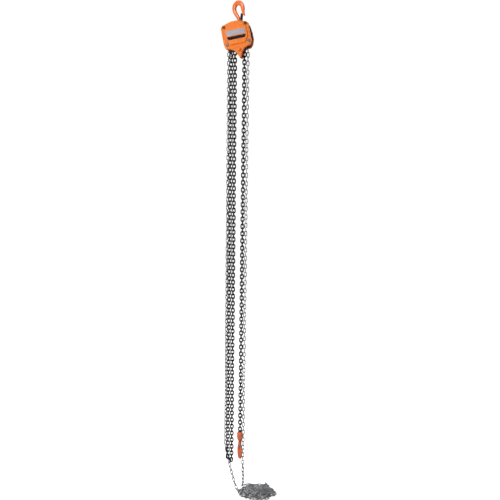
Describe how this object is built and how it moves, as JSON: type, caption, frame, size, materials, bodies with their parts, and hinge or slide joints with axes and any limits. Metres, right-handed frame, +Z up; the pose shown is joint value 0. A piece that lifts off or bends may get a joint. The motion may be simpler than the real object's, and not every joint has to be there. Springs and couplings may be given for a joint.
{
  "type": "hand chain hoist",
  "caption": "Single-fall hand chain hoist: tilted orange gear housing under a latched top hook, black load chain with swivel hook, bright endless hand chain heaped on the floor.",
  "frame": {"origin": "centre of the top hook's saddle, where it bears on its anchor", "axes": "+Z up along the hanging chains, gear cover faces -Y, +X to the viewer's right when facing the gear cover"},
  "size_m": [0.3483, 0.2284, 2.8463],
  "materials": {
    "cover_orange": "gloss enamel",
    "hook_orange": "gloss enamel over forging",
    "label_silver": "satin",
    "strip_black": "gloss",
    "black_steel": "black oxide, satin",
    "hand_chain_zinc": "bright zinc",
    "zinc_steel": "zinc plated",
    "gear_steel": "ground and oiled",
    "cast_grey": "as cast, machined pockets",
    "spring_steel": "wire",
    "friction_lining": "woven lining"
  },
  "bodies": {
    "hoist_frame": {"gear_cover": "cover_orange", "label_plate": "label_silver", "rating_strip": "strip_black", "gear_side_plate": "black_steel", "wheel_side_plate": "black_steel", "hand_wheel_cover": "cover_orange", "stay_bolts": "zinc_steel", "cover_washers": "zinc_steel", "cover_nuts": "zinc_steel", "cover_spacers": "zinc_steel", "sheave_bearings": "gear_steel", "journal_plate": "gear_steel", "pawl_pins": "zinc_steel", "pawl_springs": "spring_steel", "roller_pins": "zinc_steel", "chain_stripper": "cast_grey", "stripper_pin": "zinc_steel", "suspension_pin": "zinc_steel", "chain_anchor": "black_steel", "anchor_pin": "black_steel", "anchor_chain_pin": "zinc_steel", "load_chain_arc": "black_steel", "hand_chain_arc": "hand_chain_zinc", "hand_strands": "hand_chain_zinc", "hand_chain_heap": "hand_chain_zinc"},
    "drive_shaft": {"drive_shaft": "gear_steel", "brake_hub": "gear_steel", "friction_discs": "friction_lining", "hand_wheel": "cast_grey", "castle_nut": "zinc_steel", "split_pin": "zinc_steel"},
    "load_sheave": {"load_sheave": "cast_grey", "load_gear": "gear_steel", "gear_circlip": "gear_steel"},
    "disc_gear_a": {"disc_gear_a": "gear_steel"},
    "disc_gear_b": {"disc_gear_b": "gear_steel"},
    "ratchet": {"ratchet_disc": "gear_steel"},
    "pawl_a": {"pawl_a": "gear_steel"},
    "pawl_b": {"pawl_b": "gear_steel"},
    "guide_roller_a": {"guide_roller_a": "gear_steel"},
    "guide_roller_b": {"guide_roller_b": "gear_steel"},
    "top_yoke": {"top_yoke": "hook_orange"},
    "top_hook": {"top_hook": "hook_orange", "top_hook_nut": "zinc_steel", "top_hook_washer": "zinc_steel", "top_latch_pin": "zinc_steel"},
    "top_latch": {"top_latch": "black_steel", "top_latch_spring": "spring_steel"},
    "load_block": {"load_yoke_front": "hook_orange", "load_yoke_rear": "hook_orange", "load_yoke_screws": "zinc_steel", "load_chain_pin": "zinc_steel", "load_fall": "black_steel"},
    "load_hook": {"load_hook": "hook_orange", "load_hook_head": "zinc_steel", "load_latch_pin": "zinc_steel"},
    "load_latch": {"load_latch": "zinc_steel", "load_latch_spring": "spring_steel"},
    "slack_loop": {"slack_loop": "black_steel"}
  },
  "joints": [
    {"name": "hand_wheel_turn", "type": "hinge", "parent": "hoist_frame", "child": "drive_shaft", "pos_m": [-0.00347, 0, -0.15432], "axis": [0, 1, 0], "range_deg": [-7200, 7200], "deforming": ["hand_chain_arc", "hand_strands"]},
    {"name": "load_sheave_turn", "type": "hinge", "parent": "hoist_frame", "child": "load_sheave", "pos_m": [-0.00347, 0, -0.15432], "axis": [0, 1, 0], "range_deg": [-361, 361], "deforming": ["load_chain_arc"]},
    {"name": "disc_gear_a_turn", "type": "hinge", "parent": "hoist_frame", "child": "disc_gear_a", "pos_m": [0.02861, 0, -0.13798], "axis": [0, 1, 0], "range_deg": [-1441, 1441]},
    {"name": "disc_gear_b_turn", "type": "hinge", "parent": "hoist_frame", "child": "disc_gear_b", "pos_m": [-0.03942, 0, -0.15243], "axis": [0, 1, 0], "range_deg": [-1441, 1441]},
    {"name": "guide_roller_a_turn", "type": "hinge", "parent": "hoist_frame", "child": "guide_roller_a", "pos_m": [-0.04744, 0, -0.17593], "axis": [0, 1, 0], "range_deg": [-1210, 1210]},
    {"name": "guide_roller_b_turn", "type": "hinge", "parent": "hoist_frame", "child": "guide_roller_b", "pos_m": [0.04549, 0, -0.15618], "axis": [0, 1, 0], "range_deg": [-1210, 1210]},
    {"name": "ratchet_turn", "type": "hinge", "parent": "hoist_frame", "child": "ratchet", "pos_m": [-0.00347, 0, -0.15432], "axis": [0, 1, 0], "range_deg": [-24, 0]},
    {"name": "pawl_a_lift", "type": "hinge", "parent": "hoist_frame", "child": "pawl_a", "pos_m": [0.01136, 0, -0.10864], "axis": [0, 1, 0], "range_deg": [0, 8.5]},
    {"name": "pawl_b_lift", "type": "hinge", "parent": "hoist_frame", "child": "pawl_b", "pos_m": [-0.0183, 0, -0.2], "axis": [0, 1, 0], "range_deg": [0, 8.5]},
    {"name": "top_yoke_rock", "type": "hinge", "parent": "hoist_frame", "child": "top_yoke", "pos_m": [0.00746, 0, -0.0927], "axis": [0, 1, 0], "range_deg": [-12, 12]},
    {"name": "top_hook_swivel", "type": "hinge", "parent": "top_yoke", "child": "top_hook", "pos_m": [0, 0, 0], "axis": [-0.0802, 0, 0.9968], "continuous": true},
    {"name": "top_latch_open", "type": "hinge", "parent": "top_hook", "child": "top_latch", "pos_m": [0.01643, -0.00923, -0.05687], "axis": [-0.6137, -0.788, -0.0494], "range_deg": [0, 34]},
    {"name": "load_lift", "type": "slide", "parent": "hoist_frame", "child": "load_block", "axis": [0, 0, 1], "range_m": [-0.1681, 0.1681], "stiffness_N_per_m": 100, "springref_m": 0.333, "deforming": ["load_fall"]},
    {"name": "load_hook_swivel", "type": "hinge", "parent": "load_block", "child": "load_hook", "pos_m": [0.03532, 0, -2.505], "axis": [0, 0, 1], "continuous": true},
    {"name": "load_latch_open", "type": "hinge", "parent": "load_hook", "child": "load_latch", "pos_m": [0.03895, -0.01455, -2.447], "axis": [0.9703, 0.2419, 0], "range_deg": [0, 34]},
    {"name": "slack_loop_shift", "type": "slide", "parent": "hoist_frame", "child": "slack_loop", "axis": [0, 0, 1], "range_m": [-0.0841, 0.0841], "stiffness_N_per_m": 100, "springref_m": 0.534, "deforming": ["slack_loop"]}
  ],
  "couplings": [
    {"joint": "load_sheave_turn", "follows": "hand_wheel_turn", "ratio": 0.05},
    {"joint": "disc_gear_a_turn", "follows": "hand_wheel_turn", "ratio": -0.2},
    {"joint": "disc_gear_b_turn", "follows": "hand_wheel_turn", "ratio": -0.2},
    {"joint": "guide_roller_a_turn", "follows": "hand_wheel_turn", "ratio": -0.167},
    {"joint": "guide_roller_b_turn", "follows": "hand_wheel_turn", "ratio": -0.167},
    {"joint": "load_lift", "follows": "hand_wheel_turn", "m_per_rad": -0.0013369},
    {"joint": "slack_loop_shift", "follows": "hand_wheel_turn", "m_per_rad": 0.00066845},
    {"joint": "pawl_a_lift", "follows": "ratchet_turn", "ratio": -0.35},
    {"joint": "pawl_b_lift", "follows": "ratchet_turn", "ratio": -0.35}
  ]
}
